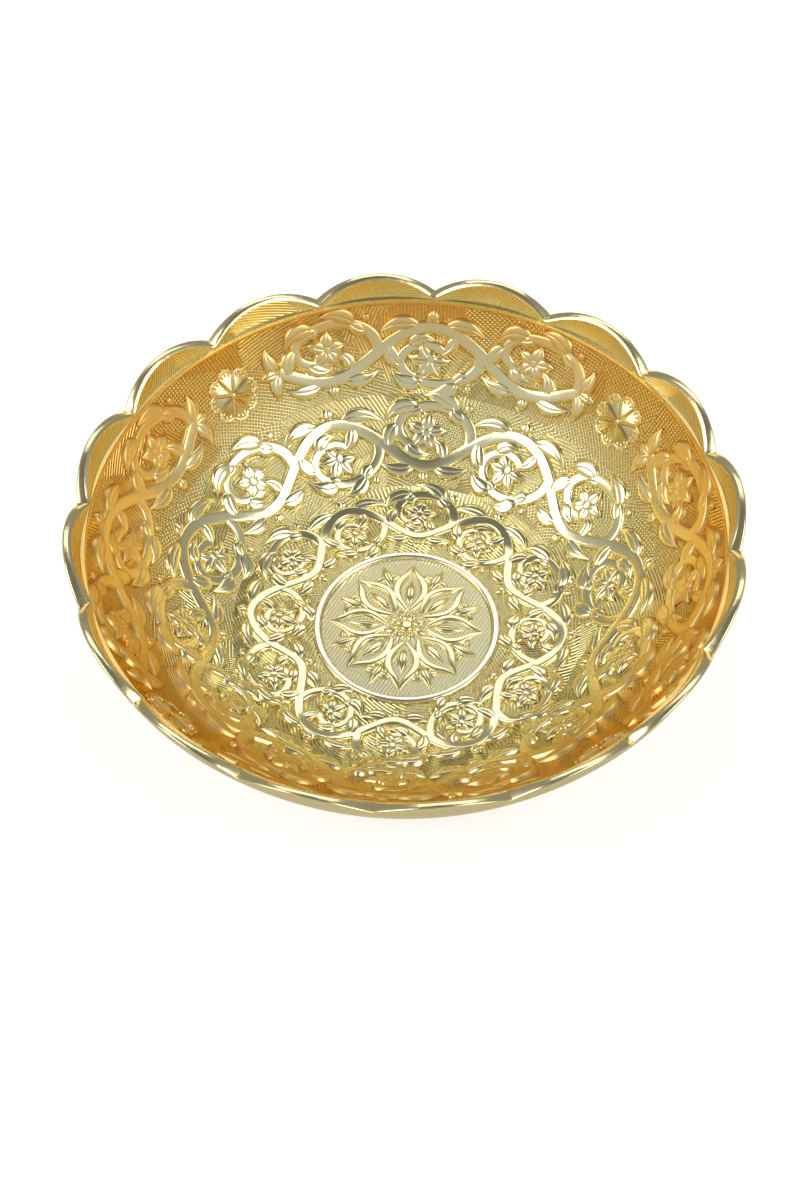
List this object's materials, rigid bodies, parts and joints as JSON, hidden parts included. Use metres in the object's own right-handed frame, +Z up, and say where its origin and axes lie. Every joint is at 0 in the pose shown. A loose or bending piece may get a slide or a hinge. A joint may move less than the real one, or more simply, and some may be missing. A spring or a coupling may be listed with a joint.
{
  "type": "offering bowl",
  "caption": "Round gold-coloured metal offering bowl with a flared scalloped lip, a beaded inner edge, rosettes on its wall and a ringed medallion in its floor, on a low ring foot.",
  "frame": {"origin": "centre of the foot's underside, on the surface that the bowl stands on", "axes": "+Z up along the bowl's axis; +Y to the back of the picture, through a notch of the lip; +X to its right"},
  "size_m": [0.1388, 0.1388, 0.0442],
  "materials": {
    "satin_gold": "satin gilt, finely hatched ground",
    "polished_gold": "polished gilt"
  },
  "bodies": {
    "root": {"bowl_body": "satin_gold", "scalloped_rim": "polished_gold", "rim_bead": "polished_gold", "medallion_disc": "satin_gold", "medallion_ring": "polished_gold", "rosette_back_right": "satin_gold", "rosette_back_left": "satin_gold", "rosette_front_left": "satin_gold", "rosette_front_right": "satin_gold", "foot_ring": "polished_gold"}
  },
  "joints": []
}
